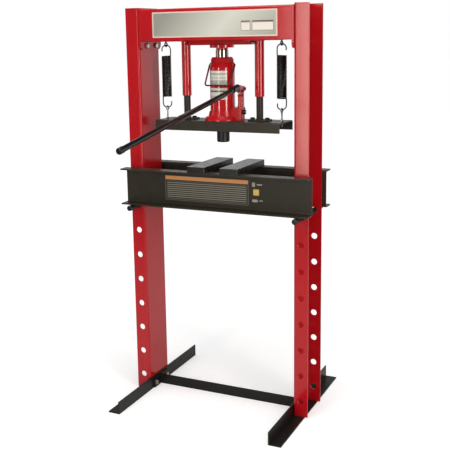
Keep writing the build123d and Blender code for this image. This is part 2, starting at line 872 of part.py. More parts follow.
def bed_spacers():
    """Plates welded between the two bed channels, just inside the uprights."""
    middle = bed_bottom + bed_height / 2
    x = half_span - spacer_inset - spacer_wall / 2
    plate = Box(spacer_wall, 2 * bed_inner, spacer_height)
    return Compound([Pos(-x, 0, middle) * plate, Pos(x, 0, middle) * plate])


def arbor_plate(x):
    """Loose steel plate laid across the bed."""
    plate = Box(plate_width, plate_length, plate_thickness)
    plate = chamfer(plate.edges().filter_by(Axis.Z), plate_chamfer)
    return Pos(x, 0, bed_top + plate_thickness / 2) * plate


def bed_pin(side):
    """Plain round pin through both flanges of an upright, under the bed."""
    body = rod_y(bed_pin_radius, -bed_pin_length / 2, bed_pin_length / 2, side * hole_x, bed_pin_z)
    return chamfer(body.edges().filter_by(GeomType.CIRCLE), bed_pin_chamfer)


head_side = half_span - end_plate_wall
nut_side = half_span + upright_wall
crosshead_grip = nut_side - head_side + m12[2] + thread_stub
foot_head_side = half_span - foot_wall - brace_plate_wall
foot_grip = nut_side - foot_head_side + m10[2] + thread_stub

save(upright(-1), "left_upright")
save(upright(1), "right_upright")
save(foot(-1), "left_foot")
save(foot(1), "right_foot")
save(floor_brace(), "floor_brace")
save(Compound(side_bolts(m10, foot_grip, foot_head_side, foot_bolt_places)), "foot_bolts")
save(Compound(side_nuts(m10, nut_side, foot_bolt_places)), "foot_nuts")

save(crosshead_beam(), "crosshead_beam")
save(end_plates(), "crosshead_end_plates")
save(thrust_box(), "thrust_box")
save(Compound([tie_plate(-1), tie_plate(1)]), "guide_tie_plates")
save(guide_tube(-1), "left_guide_tube")
save(guide_tube(1), "right_guide_tube")
save(name_plate(), "name_plate")
save(Compound(side_bolts(m12, crosshead_grip, head_side, crosshead_bolt_places)), "crosshead_bolts")
save(Compound(side_nuts(m12, nut_side, crosshead_bolt_places)), "crosshead_nuts")
save(upper_eyebolts(), "upper_eyebolts")
save(nuts_at_springs([tie_plate_z + tie_plate_wall]), "upper_eyebolt_nuts")

save(ram_head(), "ram_head")
save(jack_ram(), "jack_ram")
save(piston_seal(), "piston_seal")

save(bed_channel(-1), "front_bed_channel")
save(bed_channel(1), "back_bed_channel")
save(bed_spacers(), "bed_spacers")
save(arbor_plate(left_plate_x), "left_arbor_plate")
save(arbor_plate(right_plate_x), "right_arbor_plate")
save(bed_pin(-1), "left_bed_pin")
save(bed_pin(1), "right_bed_pin")

save(carriage_channel(), "carriage_channel")
save(guide_rod(-1), "left_guide_rod")
save(guide_rod(1), "right_guide_rod")
save(rod_plates(), "guide_rod_plates")
save(rod_bolts(), "guide_rod_bolts")
save(rod_nuts(), "guide_rod_nuts")
save(press_pin(), "press_pin")
save(lower_eyebolts(), "lower_eyebolts")
save(nuts_at_springs([carriage_top, web_under - m6[2]]), "lower_eyebolt_nuts")
save(return_spring(-1), "left_return_spring")
save(return_spring(1), "right_return_spring")

save(jack_base(), "jack_base")
save(jack_reservoir(), "jack_reservoir")
save(jack_cylinder(), "jack_cylinder")
save(jack_top_nut(), "jack_top_nut")
save(oil_plug(), "oil_filler_plug")
save(bail_ears(), "bail_ears")
save(carry_bail(), "carry_bail")
save(pump_cylinder(), "pump_cylinder")
save(pump_plunger(), "pump_plunger")
save(pivot_pin(pump_y, plunger_pin_z, cheek_reach), "plunger_cross_pin")
save(fulcrum_link(), "fulcrum_link")
save(pivot_pin(fulcrum_y, fulcrum_z, cheek_reach), "fulcrum_pin")
save(rod_x(pivot_radius, link_pin_start, boss_end + pivot_head, fulcrum_y, link_pin_z), "link_pin")
save(socket_yoke(), "socket_yoke")
save(socket_tube(), "socket_tube")
save(pump_handle(), "pump_handle")
save(handle_cap(), "handle_end_cap")
save(release_valve(), "release_valve")
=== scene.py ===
import bpy, bmesh
from math import cos, pi, radians, sin
from mathutils import Matrix, Vector


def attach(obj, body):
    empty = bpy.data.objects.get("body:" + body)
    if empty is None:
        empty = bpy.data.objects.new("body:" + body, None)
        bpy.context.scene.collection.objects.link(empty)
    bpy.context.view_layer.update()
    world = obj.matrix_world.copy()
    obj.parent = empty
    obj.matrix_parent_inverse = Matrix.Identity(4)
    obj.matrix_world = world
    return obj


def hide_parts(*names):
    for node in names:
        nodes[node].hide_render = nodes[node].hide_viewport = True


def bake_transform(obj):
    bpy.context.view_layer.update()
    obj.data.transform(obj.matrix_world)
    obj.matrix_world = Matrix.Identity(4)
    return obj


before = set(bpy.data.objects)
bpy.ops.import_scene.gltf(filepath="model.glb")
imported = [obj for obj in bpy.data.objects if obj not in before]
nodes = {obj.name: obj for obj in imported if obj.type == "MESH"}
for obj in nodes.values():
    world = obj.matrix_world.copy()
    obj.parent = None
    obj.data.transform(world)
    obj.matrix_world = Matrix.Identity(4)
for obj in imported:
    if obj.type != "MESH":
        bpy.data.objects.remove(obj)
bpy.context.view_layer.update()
print("frame loaded:", len(nodes), "nodes")

mm = 0.001

# sizes shared with the press itself, in millimetres
press = {
    "nutFace": 308.5, "bedFront": -82.5, "bedMiddle": 834.8, "bedWeb": 77.5,
    "spacerInner": 286.0, "spacerOuter": 292.0, "spacerWeld": 44.0,
    "reservoirRadius": 46.3, "carriageTop": 1087.0, "carriageUnder": 1082.0, "rodPlate": 6.0,
    "guideSpread": 147.0, "rodRadius": 12.7, "tubeRadius": 17.4, "rodBolt": 29.0, "pinRadius": 23.6,
    "springSpread": 232.0, "lowerEye": 1127.0, "eyeRadius": 7.0,
    "tieUnder": 1376.0, "tieTop": 1382.0, "tieStart": 122.0, "tieEnd": 254.0,
    "beamEnd": 296.0, "beamInside": 72.0, "beamBottom": 1379.0, "beamWebUnder": 1489.0, "thrustHalf": 30.0,
    "crossheadBoltY": 34.0, "crossheadBoltZ": (1361.0, 1462.0), "footBoltY": 43.0, "footBoltZ": 20.0,
    "braceEnd": 294.5, "braceFront": -4.0, "braceLeg": 40.0, "braceWall": 4.0,
    "socketEnd": (74.0, -31.732, 1209.118), "handleSlope": 8.57,
}


# node tree helpers

class Tree:
    def __init__(self, tree):
        self.tree = tree
        self.tree.nodes.clear()

    def node(self, kind, inputs=None, **settings):
        made = self.tree.nodes.new(kind)
        for key, value in settings.items():
            setattr(made, key, value)
        for key, value in (inputs or {}).items():
            socket = made.inputs[key]
            if isinstance(value, bpy.types.NodeSocket):
                self.tree.links.new(value, socket)
            else:
                socket.default_value = value
        return made

    def maths(self, operation, a, b=None, c=None, clamp=False):
        made = self.node("ShaderNodeMath", operation=operation, use_clamp=clamp)
        for i, value in enumerate((a, b, c)):
            if isinstance(value, bpy.types.NodeSocket):
                self.tree.links.new(value, made.inputs[i])
            elif value is not None:
                made.inputs[i].default_value = value
        return made.outputs[0]

    def mixColour(self, factor, a, b, blend="MIX"):
        made = self.node("ShaderNodeMix", data_type="RGBA", blend_type=blend)
        for i, value in ((0, factor), (6, a), (7, b)):
            if isinstance(value, bpy.types.NodeSocket):
                self.tree.links.new(value, made.inputs[i])
            else:
                made.inputs[i].default_value = value
        return made.outputs[2]


def colour(r, g, b):
    # display values 0..255 to the linear values that a shader wants
    def linear(v):
        v = v / 255
        return v / 12.92 if v <= 0.04045 else ((v + 0.055) / 1.055) ** 2.4
    return (linear(r), linear(g), linear(b), 1.0)


def shade(base, factor):
    return tuple(min(1.0, c * factor) for c in base[:3]) + (1.0,)


def newMaterial(name):
    material = bpy.data.materials.new(name)
    material.use_nodes = True
    tree = Tree(material.node_tree)
    output = tree.node("ShaderNodeOutputMaterial")
    shader = tree.node("ShaderNodeBsdfPrincipled")
    tree.tree.links.new(shader.outputs[0], output.inputs[0])
    return material, tree, shader


def objectCoords(tree):
    return tree.node("ShaderNodeTexCoord").outputs["Object"]


def noise(tree, coords, scale, detail=3.0, roughness=0.5, stretch=None):
    if stretch:
        coords = tree.node("ShaderNodeMapping", {"Vector": coords, "Scale": stretch}).outputs[0]
    made = tree.node("ShaderNodeTexNoise", {"Vector": coords, "Scale": scale, "Detail": detail,
                                            "Roughness": roughness})
    return made.outputs["Fac"]


def remap(tree, value, low, high, toLow, toHigh):
    made = tree.node("ShaderNodeMapRange", {"Value": value, "From Min": low, "From Max": high,
                                            "To Min": toLow, "To Max": toHigh})
    return made.outputs[0]


def bumpFrom(tree, height, strength, distance, normal=None):
    inputs = {"Height": height, "Strength": strength, "Distance": distance}
    if normal is not None:
        inputs["Normal"] = normal
    return tree.node("ShaderNodeBump", inputs).outputs[0]


def softEdges(tree, radius):
    # rounds the look of sharp sheet edges by about a paint film's worth
    return tree.node("ShaderNodeBevel", {"Radius": radius}, samples=4).outputs[0]


# what all sprayed coats share: how the noise is spread, and where dust nibs rise
coatNoise = {"cloudDetail": 4.0, "patchFiner": 7, "patchDetail": 2.0, "patchShare": 0.35,
             "low": 0.35, "high": 0.65, "roughSpread": 0.15, "roughLow": 0.3, "roughHigh": 0.7,
             "peelDetail": 2.0, "peelRoughness": 0.45, "nibCoarser": 0.23, "nibStart": 0.74,
             "nibFull": 0.80, "depth": 0.0002}


def powderCoat(name, base, finish):
    # sprayed and baked coat: fine orange peel, faint cloudiness, a few dust nibs
    look = coatNoise
    material, tree, shader = newMaterial(name)
    coords = objectCoords(tree)
    cloud = noise(tree, coords, finish["cloudScale"], look["cloudDetail"])
    patch = noise(tree, coords, finish["cloudScale"] * look["patchFiner"], look["patchDetail"])
    cloudPart = tree.maths("MULTIPLY", cloud, 1 - look["patchShare"])
    mixed = tree.maths("MULTIPLY_ADD", patch, look["patchShare"], cloudPart)
    tone = remap(tree, mixed, look["low"], look["high"], 0.0, 1.0)
    low = shade(base, 1 - finish["variation"])
    high = shade(base, 1 + finish["variation"])
    tree.tree.links.new(tree.mixColour(tone, low, high), shader.inputs["Base Color"])
    smooth, dull = (finish["roughness"] * (1 + way * look["roughSpread"]) for way in (-1, 1))
    rough = remap(tree, patch, look["roughLow"], look["roughHigh"], smooth, dull)
    tree.tree.links.new(rough, shader.inputs["Roughness"])
    peel = noise(tree, coords, finish["peelScale"], look["peelDetail"], look["peelRoughness"])
    dust = noise(tree, coords, finish["peelScale"] * look["nibCoarser"], 0.0)
    nibs = remap(tree, dust, look["nibStart"], look["nibFull"], 0.0, 1.0)
    height = tree.maths("MULTIPLY_ADD", nibs, finish["nibs"], peel)
    normal = bumpFrom(tree, height, finish["peel"], look["depth"], softEdges(tree, finish["edge"]))
    tree.tree.links.new(normal, shader.inputs["Normal"])
    shader.inputs["Coat Weight"].default_value = finish["coat"]
    shader.inputs["Coat Roughness"].default_value = finish["coatRoughness"]
    shader.inputs["Specular IOR Level"].default_value = finish["specular"]
    return material


# what all bare metals share: streaks and mottling in equal parts, and a very shallow relief
metalNoise = {"streakScale": 60.0, "streakDetail": 3.0, "mottleDetail": 4.0, "grain": 0.6, "share": 0.5,
              "low": 0.35, "high": 0.65, "roughSpread": 0.25, "depth": 0.0001, "edge": 0.0004}


def bareMetal(name, base, finish):
    # turned, drawn or plated steel: streaks along one axis over a mottled film
    look = metalNoise
    material, tree, shader = newMaterial(name)
    coords = objectCoords(tree)
    grain = look["grain"]
    streaks = noise(tree, coords, look["streakScale"], look["streakDetail"], grain, finish["streak"])
    mottle = noise(tree, coords, finish["mottleScale"], look["mottleDetail"], grain)
    mottlePart = tree.maths("MULTIPLY", mottle, 1 - look["share"])
    mixed = tree.maths("MULTIPLY_ADD", streaks, look["share"], mottlePart)
    tone = remap(tree, mixed, look["low"], look["high"], 0.0, 1.0)
    low = shade(base, 1 - finish["variation"])
    high = shade(base, 1 + finish["variation"])
    tree.tree.links.new(tree.mixColour(tone, low, high), shader.inputs["Base Color"])
    smooth, dull = (finish["roughness"] * (1 + way * look["roughSpread"]) for way in (-1, 1))
    tree.tree.links.new(remap(tree, tone, 0.0, 1.0, smooth, dull), shader.inputs["Roughness"])
    normal = bumpFrom(tree, streaks, finish["bump"], look["depth"], softEdges(tree, look["edge"]))
    tree.tree.links.new(normal, shader.inputs["Normal"])
    shader.inputs["Metallic"].default_value = 1.0
    return material


redFinish = {"nibs": 0.12, "cloudScale": 5.0, "variation": 0.05, "roughness": 0.17, "peelScale": 900.0,
             "peel": 0.10, "edge": 0.0012, "coat": 0.10, "coatRoughness": 0.06, "specular": 0.42}
jackFinish = dict(redFinish, roughness=0.15, peel=0.05, coat=0.9, coatRoughness=0.05, specular=0.5)
castFinish = dict(redFinish, roughness=0.26, peelScale=420.0, peel=0.22, edge=0.002, coat=0.3)
nutFinish = dict(redFinish, roughness=0.34, coat=0.0, specular=0.2)
bailFinish = dict(nutFinish, roughness=0.3)
blackFinish = {"nibs": 0.15, "cloudScale": 6.0, "variation": 0.16, "roughness": 0.38, "peelScale": 1100.0,
               "peel": 0.22, "edge": 0.0010, "coat": 0.0, "coatRoughness": 0.2, "specular": 0.28}
glossBlackFinish = dict(blackFinish, nibs=0.0, roughness=0.16, peelScale=300.0, peel=0.02, specular=0.45)
plateFinish = dict(blackFinish, roughness=0.30, peelScale=500.0, peel=0.4, variation=0.22, specular=0.5)
capFinish = dict(blackFinish, roughness=0.24, peel=0.1, specular=0.5)
wireFinish = dict(blackFinish, cloudScale=30.0, roughness=0.26, peel=0.08, specular=0.6, edge=0.0003)
sealFinish = dict(blackFinish, roughness=0.7, peel=0.6)

redPaint = powderCoat("redPaint", colour(172, 17, 25), redFinish)
jackRed = powderCoat("jackRed", colour(172, 13, 20), jackFinish)
castRed = powderCoat("castRed", colour(172, 13, 20), castFinish)
nutRed = powderCoat("nutRed", colour(166, 14, 21), nutFinish)
bailRed = powderCoat("bailRed", colour(92, 8, 12), bailFinish)
blackPaint = powderCoat("blackPaint", colour(24, 23, 20), blackFinish)
bedBlack = powderCoat("bedBlack", colour(46, 42, 33), blackFinish)
glossBlack = powderCoat("glossBlack", colour(9, 9, 8), glossBlackFinish)
plateBlack = powderCoat("plateBlack", colour(26, 25, 23), plateFinish)
capBlack = powderCoat("capBlack", colour(12, 12, 12), capFinish)
springBlack = powderCoat("springBlack", colour(20, 20, 20), wireFinish)
sealRubber = powderCoat("sealRubber", colour(20, 20, 20), sealFinish)

around = (0.3, 0.3, 12.0)      # streaks that run round a vertical shaft
lengthwise = (12.0, 0.4, 12.0)      # streaks along a pin or bar that points to the back
evenly = (1.0, 1.0, 1.0)
chromeFinish = {"streak": around, "mottleScale": 30.0, "variation": 0.05, "roughness": 0.13, "bump": 0.05}
zincFinish = {"streak": evenly, "mottleScale": 160.0, "variation": 0.18, "roughness": 0.34, "bump": 0.15}
rawFinish = {"streak": lengthwise, "mottleScale": 60.0, "variation": 0.25, "roughness": 0.42, "bump": 0.2}
pinFinish = {"streak": lengthwise, "mottleScale": 50.0, "variation": 0.3, "roughness": 0.45, "bump": 0.2}
chromeSteel = bareMetal("chromeSteel", (0.50, 0.47, 0.42, 1), chromeFinish)
zincSteel = bareMetal("zincSteel", (0.60, 0.60, 0.57, 1), zincFinish)
rawSteel = bareMetal("rawSteel", (0.26, 0.26, 0.27, 1), rawFinish)
pinSteel = bareMetal("pinSteel", (0.055, 0.055, 0.055, 1), pinFinish)


# printed fields are masks on the piece's own coordinates

def inside(tree, value, low, high, soft=0.0003):
    rise = remap(tree, value, low - soft, low + soft, 0.0, 1.0)
    fall = remap(tree, value, high - soft, high + soft, 1.0, 0.0)
    return tree.maths("MULTIPLY", rise, fall)


def rectangle(tree, u, v, box):
    x0, x1, z0, z1 = (value * mm for value in box)
    return tree.maths("MULTIPLY", inside(tree, u, x0, x1), inside(tree, v, z0, z1))


def frameLine(tree, u, v, box, width):
    x0, x1, z0, z1 = box
    outer = rectangle(tree, u, v, box)
    inner = rectangle(tree, u, v, (x0 + width, x1 - width, z0 + width, z1 - width))
    return tree.maths("SUBTRACT", outer, inner)


# what all printed fields share: how the grain turns into roughness, and the ink's relief
printNoise = {"low": 0.3, "high": 0.7, "depth": 0.0001}


def finishPrint(tree, shader, field, grain, look):
    spread = remap(tree, grain, printNoise["low"], printNoise["high"], *look["roughness"])
    tree.tree.links.new(field, shader.inputs["Base Color"])
    tree.tree.links.new(spread, shader.inputs["Roughness"])
    tree.tree.links.new(bumpFrom(tree, grain, look["relief"], printNoise["depth"]), shader.inputs["Normal"])


# silver plate on the crosshead: pale border, bare field crossed by a painted highlight band, and two plain
# boxes
plateLook = {
    "brush": (40.0, 3.0, 0.6, (1.0, 1.0, 30.0)), "relief": 0.06,
    "field": (-245.0, 245.0, 1390.0, 1482.0), "border": 5.0, "line": 1.2,
    # the sheen numbers lay a painted reflection across the field as a diagonal band: the light colour on
    # the band, the dark colour away from it
    "paintedSheenLean": -0.9, "paintedSheenPlace": 1.25, "paintedSheenReach": 0.26, "brushShare": 0.25,
    "silver": colour(176, 177, 168), "light": colour(206, 207, 196), "dark": colour(142, 141, 132),
    "borderColour": colour(214, 196, 184), "boxColour": colour(222, 214, 204),
    "lineColour": colour(52, 54, 52), "metal": 0.12, "specular": 0.3, "roughness": (0.38, 0.50),
    "boxes": ((109.0, 144.0, 1410.0, 1439.0), (151.0, 231.0, 1410.0, 1439.0)),
    "bars": ((109.0, 144.0, 1440.5, 1444.0), (151.0, 231.0, 1440.5, 1444.0)),
}


def namePlateMaterial(look):
    material, tree, shader = newMaterial("namePlateSilver")
    coords = objectCoords(tree)
    split = tree.node("ShaderNodeSeparateXYZ", {"Vector": coords})
    u, v = split.outputs[0], split.outputs[2]
    brushed = noise(tree, coords, *look["brush"])
    # painted reflection: a lighter diagonal band across the plate, fading to the darker colour away from it
    across = tree.maths("ADD", u, look["paintedSheenPlace"])
    paintedSheen = tree.maths("ABSOLUTE", tree.maths("MULTIPLY_ADD", v, look["paintedSheenLean"], across))
    fall = remap(tree, paintedSheen, 0.0, look["paintedSheenReach"], 0.0, 1.0)
    field = tree.mixColour(fall, look["light"], look["dark"])
    bright = remap(tree, brushed, printNoise["low"], printNoise["high"], 0.0, look["brushShare"])
    field = tree.mixColour(bright, field, look["silver"])
    border = frameLine(tree, u, v, look["field"], look["border"])
    field = tree.mixColour(border, field, look["borderColour"])
    for box in look["boxes"]:
        field = tree.mixColour(rectangle(tree, u, v, box), field, look["boxColour"])
        field = tree.mixColour(frameLine(tree, u, v, box, look["line"]), field, look["lineColour"])
    for bar in look["bars"]:
        field = tree.mixColour(rectangle(tree, u, v, bar), field, look["lineColour"])
    finishPrint(tree, shader, field, brushed, look)
    shader.inputs["Metallic"].default_value = look["metal"]
    shader.inputs["Specular IOR Level"].default_value = look["specular"]
    return material


# plain panel on the bed: amber head band over grey rules; beside it an amber square and small grey marks
bedPanelLook = {
    "box": (-206.0, 134.0, 788.0, 881.0), "wall": 0.15, "band": 15.0, "edgeLine": 1.2,
    "rulePitch": 7.6, "ruleWidth": 3.0, "ruleStart": 4.0, "ruleSide": 8.0, "ruleFoot": 6.0, "ruleHead": 5.0,
    "amber": colour(206, 140, 78), "ground": colour(44, 42, 36), "rule": colour(142, 138, 122),
    "edgeColour": colour(120, 118, 108),
    "square": (152.0, 176.0, 826.0, 850.0), "squareColour": colour(206, 178, 84), "squareLine": 1.6,
    "marks": ((148.0, 160.0, 858.0, 874.0), (166.0, 188.0, 864.0, 869.0), (148.0, 170.0, 802.0, 812.0),
              (174.0, 190.0, 806.0, 810.0)), "markColour": colour(150, 145, 136),
    "grain": (700.0, 2.0), "groundGrain": 0.3, "groundLight": 1.4, "ruleStrength": 0.8, "bandInset": 1.5,
    "amberGrain": 0.4, "amberDark": 0.85, "squareDark": 0.35, "roughness": (0.34, 0.46), "relief": 0.08,
}


def bedPanelMaterial(look):
    material, tree, shader = newMaterial("bedPanelPrint")
    coords = objectCoords(tree)
    split = tree.node("ShaderNodeSeparateXYZ", {"Vector": coords})
    u, v = split.outputs[0], split.outputs[2]
    x0, x1, z0, z1 = look["box"]
    bandFloor = z1 - look["band"]
    grain = noise(tree, coords, *look["grain"])
    height = tree.maths("SUBTRACT", v, (z0 + look["ruleStart"]) * mm)
    row = tree.maths("FRACT", tree.maths("DIVIDE", height, look["rulePitch"] * mm))
    line = tree.maths("LESS_THAN", row, look["ruleWidth"] / look["rulePitch"])
    side = look["ruleSide"]
    ruledBox = (x0 + side, x1 - side, z0 + look["ruleFoot"], bandFloor - look["ruleHead"])
    ruled = tree.maths("MULTIPLY", line, rectangle(tree, u, v, ruledBox))
    speckled = tree.maths("MULTIPLY", grain, look["groundGrain"])
    ground = tree.mixColour(speckled, look["ground"], shade(look["ground"], look["groundLight"]))
    field = tree.mixColour(tree.maths("MULTIPLY", ruled, look["ruleStrength"]), ground, look["rule"])
    field = tree.mixColour(frameLine(tree, u, v, look["box"], look["edgeLine"]), field, look["edgeColour"])
    inset = look["bandInset"]
    band = rectangle(tree, u, v, (x0 + inset, x1 - inset, bandFloor, z1 - inset))
    speckled = tree.maths("MULTIPLY", grain, look["amberGrain"])
    amber = tree.mixColour(speckled, look["amber"], shade(look["amber"], look["amberDark"]))
    field = tree.mixColour(band, field, amber)
    field = tree.mixColour(rectangle(tree, u, v, look["square"]), field, look["squareColour"])
    squareEdge = frameLine(tree, u, v, look["square"], look["squareLine"])
    field = tree.mixColour(squareEdge, field, shade(look["squareColour"], look["squareDark"]))
    for mark in look["marks"]:
        field = tree.mixColour(rectangle(tree, u, v, mark), field, look["markColour"])
    finishPrint(tree, shader, field, grain, look)
    return material


# blank labels on the jack: cream ground, grey head band and a plain rule or two
jackLabelLook = {
    "upper": (1218.0, 1269.0), "lower": (1165.0, 1207.0), "halfAngle": 46.0, "wall": 0.15,
    "gap": 0.02, "steps": 36, "grain": (500.0, 2.0), "grainShare": 0.25, "roughness": (0.14, 0.22),
    "relief": 0.05,
    "cream": colour(206, 205, 194), "grey": colour(138, 139, 130), "dark": colour(60, 58, 52),
    # label, start and end of a band above its lower edge, tone and strength
    "bands": (("upper", 37.0, 42.0, "dark", 0.55), ("upper", 24.0, 27.0, "grey", 0.8),
              ("upper", 0.0, 17.0, "grey", 0.75), ("lower", 27.0, 33.0, "dark", 0.9),
              ("lower", 3.0, 14.0, "grey", 0.6)),
}


def jackLabelMaterial(look):
    material, tree, shader = newMaterial("jackLabelPrint")
    coords = objectCoords(tree)
    v = tree.node("ShaderNodeSeparateXYZ", {"Vector": coords}).outputs[2]
    grain = noise(tree, coords, *look["grain"])
    field = tree.mixColour(tree.maths("MULTIPLY", grain, look["grainShare"]), look["cream"], look["grey"])
    for label, start, end, tone, amount in look["bands"]:
        foot = look[label][0]
        mask = tree.maths("MULTIPLY", inside(tree, v, (foot + start) * mm, (foot + end) * mm), amount)
        field = tree.mixColour(mask, field, look[tone])
    finishPrint(tree, shader, field, grain, look)
    return material


print("materials made")


def dress(names, material):
    for name in names:
        piece = nodes[name]
        piece.data.materials.clear()
        piece.data.materials.append(material)


dress(["left_upright", "right_upright", "crosshead_beam", "crosshead_end_plates", "thrust_box",
       "guide_tie_plates"], redPaint)
dress(["left_guide_tube", "right_guide_tube", "ram_head", "jack_reservoir", "pump_cylinder"], jackRed)
dress(["jack_top_nut"], nutRed)
dress(["jack_base", "bail_ears", "socket_yoke", "fulcrum_link"], castRed)
dress(["carry_bail"], bailRed)
dress(["left_foot", "right_foot", "floor_brace"], blackPaint)
dress(["front_bed_channel", "back_bed_channel", "bed_spacers", "carriage_channel", "guide_rod_plates",
       "left_guide_rod", "right_guide_rod"], bedBlack)
dress(["left_arbor_plate", "right_arbor_plate"], plateBlack)
dress(["pump_handle", "socket_tube"], glossBlack)
dress(["handle_end_cap"], capBlack)
dress(["jack_ram"], chromeSteel)
dress(["foot_bolts", "foot_nuts", "crosshead_bolts", "crosshead_nuts", "lower_eyebolts",
       "lower_eyebolt_nuts"], zincSteel)
dress(["upper_eyebolts", "upper_eyebolt_nuts", "guide_rod_bolts", "guide_rod_nuts", "fulcrum_pin",
       "link_pin", "plunger_cross_pin", "release_valve", "left_bed_pin", "right_bed_pin",
       "press_pin"], pinSteel)
dress(["jack_cylinder", "pump_plunger"], rawSteel)
dress(["oil_filler_plug", "piston_seal"], sealRubber)
dress(["left_return_spring", "right_return_spring"], springBlack)
dress(["name_plate"], namePlateMaterial(plateLook))


# mesh helpers

def meshObject(name, mesh, material, body):
    made = bpy.data.objects.new(name, mesh)
    bpy.context.scene.collection.objects.link(made)
    mesh.materials.clear()
    mesh.materials.append(material)
    if body:      # a piece that bends between two bodies rides on neither
        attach(made, body)
    return made


slabEdge = {"radius": 1.5, "segments": 3}


def slab(name, box, front, wall, material, body):
    # thin plate standing across Y, with its back on the face that carries it
    x0, x1, z0, z1 = box
    bm = bmesh.new()
    bmesh.ops.create_cube(bm, size=1.0)
    size = Vector((x1 - x0, wall, z1 - z0)) * mm
    middle = Vector(((x0 + x1) / 2, front - wall / 2, (z0 + z1) / 2)) * mm
    bmesh.ops.scale(bm, vec=size, verts=bm.verts)
    bmesh.ops.translate(bm, vec=middle, verts=bm.verts)
    corners = [e for e in bm.edges if abs(e.verts[0].co.y - e.verts[1].co.y) > wall * mm * 0.5]
    radius, segments = slabEdge["radius"] * mm, slabEdge["segments"]
    bmesh.ops.bevel(bm, geom=corners, offset=radius, segments=segments, affect="EDGES")
    mesh = bpy.data.meshes.new(name)
    bm.to_mesh(mesh)
    bm.free()
    return meshObject(name, mesh, material, body)


def wrapLabel(name, radius, heights, look, material, body):
    # shell of a label's thickness round the front of the reservoir
    low, high = heights
    bm = bmesh.new()
    rings = []
    for step in range(look["steps"] + 1):
        turn = radians(-look["halfAngle"] + 2 * look["halfAngle"] * step / look["steps"])
        ring = []
        outside = radius + look["wall"]
        for r, z in ((radius, low), (outside, low), (outside, high), (radius, high)):
            ring.append(bm.verts.new((r * sin(turn) * mm, -r * cos(turn) * mm, z * mm)))
        rings.append(ring)
    for a, b in zip(rings, rings[1:]):
        for i in range(4):
            j = (i + 1) % 4
            bm.faces.new((a[i], b[i], b[j], a[j]))
    bm.faces.new(rings[0])
    bm.faces.new(reversed(rings[-1]))
    bmesh.ops.recalc_face_normals(bm, faces=bm.faces)
    mesh = bpy.data.meshes.new(name)
    bm.to_mesh(mesh)
    bm.free()
    return meshObject(name, mesh, material, body)


bedPanelPrint = bedPanelMaterial(bedPanelLook)
fields = [("bedPanel", bedPanelLook["box"]), ("bedSquare", bedPanelLook["square"])]
for number, mark in enumerate(bedPanelLook["marks"]):
    fields.append(("bedMark" + str(number + 1), mark))
for name, box in fields:
    slab(name, box, press["bedFront"], bedPanelLook["wall"], bedPanelPrint, "frame")
jackLabelPrint = jackLabelMaterial(jackLabelLook)
labelRadius = press["reservoirRadius"] + jackLabelLook["gap"]
for part in ("upper", "lower"):
    wrapLabel(part + "JackLabel", labelRadius, jackLabelLook[part], jackLabelLook, jackLabelPrint,
              "carriage")
print("panels and labels made")


# geometry node trees

class GeoTree(Tree):
    def __init__(self, name, sockets):
        tree = bpy.data.node_groups.new(name, "GeometryNodeTree")
        super().__init__(tree)
        self.idents = {}
        tree.interface.new_socket("Geometry", in_out="INPUT", socket_type="NodeSocketGeometry")
        for label, kind in sockets.items():
            socket = tree.interface.new_socket(label, in_out="INPUT", socket_type="NodeSocket" + kind)
            self.idents[label] = socket.identifier
        tree.interface.new_socket("Geometry", in_out="OUTPUT", socket_type="NodeSocketGeometry")
        self.given = self.node("NodeGroupInput").outputs

    def close(self, geometry):
        real = self.node("GeometryNodeRealizeInstances", {"Geometry": geometry})
        inputs = {"Geometry": real.outputs[0], "Material": self.given["Material"]}
        painted = self.node("GeometryNodeSetMaterial", inputs)
        out = self.node("NodeGroupOutput")
        self.tree.links.new(painted.outputs[0], out.inputs[0])


def grow(name, base, tree, values, material, body):
    # runs a tree on a base object and keeps its result as a plain mesh at the origin
    holder = bpy.data.objects.new(name + "Base", base)
    bpy.context.scene.collection.objects.link(holder)
    modifier = holder.modifiers.new("build", "NODES")
    modifier.node_group = tree.tree
    for label, value in values.items():
        modifier[tree.idents[label]] = value
    modifier[tree.idents["Material"]] = material
    graph = bpy.context.evaluated_depsgraph_get()
    built = holder.evaluated_get(graph)
    mesh = bpy.data.meshes.new_from_object(built, preserve_all_data_layers=True, depsgraph=graph)
    mesh.name = name
    bpy.data.objects.remove(holder)
    return meshObject(name, mesh, material, body)


def coilNode(tree, given, radius):
    # helix of the given turns and length, open at both ends
    return tree.node("GeometryNodeCurveSpiral", {
        "Resolution": given["Steps"], "Rotations": given["Turns"], "Start Radius": radius,
        "End Radius": radius, "Height": given["Length"]}).outputs[0]


def shadeSmooth(tree, mesh):
    return tree.node("GeometryNodeSetShadeSmooth", {"Geometry": mesh, "Shade Smooth": True}).outputs[0]


def sweptWire(tree, curve, sides, radius):
    # round wire along a curve, closed at its ends and shaded smooth
    ring = tree.node("GeometryNodeCurvePrimitiveCircle", {"Resolution": sides, "Radius": radius})
    inputs = {"Curve": curve, "Profile Curve": ring.outputs[0], "Fill Caps": True}
    return shadeSmooth(tree, tree.node("GeometryNodeCurveToMesh", inputs).outputs[0])


# return spring: a close coil from the spiral primitive and a bent hook at each end
spring = {
    "coilLow": 1169.4, "coilHigh": 1322.1, "turns": 33.5, "coilRadius": 16.25, "wireRadius": 2.2,
    "upperApex": 1362.6, "lowerApex": 1128.9, "hookTurn": 20.0, "hookSweep": 205.0, "hookSteps": 12,
    "leave": (0.95, -0.32), "lift": (1.02, 0.08, 0.35), "reach": 2.0, "sides": 10, "stepsPerTurn": 28,
}


def springTree():
    tree = GeoTree("closeCoil", {"Turns": "Float", "Coil radius": "Float", "Wire radius": "Float",
                                 "Length": "Float", "Steps": "Int", "Sides": "Int", "Material": "Material"})
    given = tree.given
    both = tree.node("GeometryNodeJoinGeometry")
    tree.tree.links.new(coilNode(tree, given, given["Coil radius"]), both.inputs[0])
    tree.tree.links.new(given["Geometry"], both.inputs[0])
    tree.close(sweptWire(tree, both.outputs[0], given["Sides"], given["Wire radius"]))
    return tree


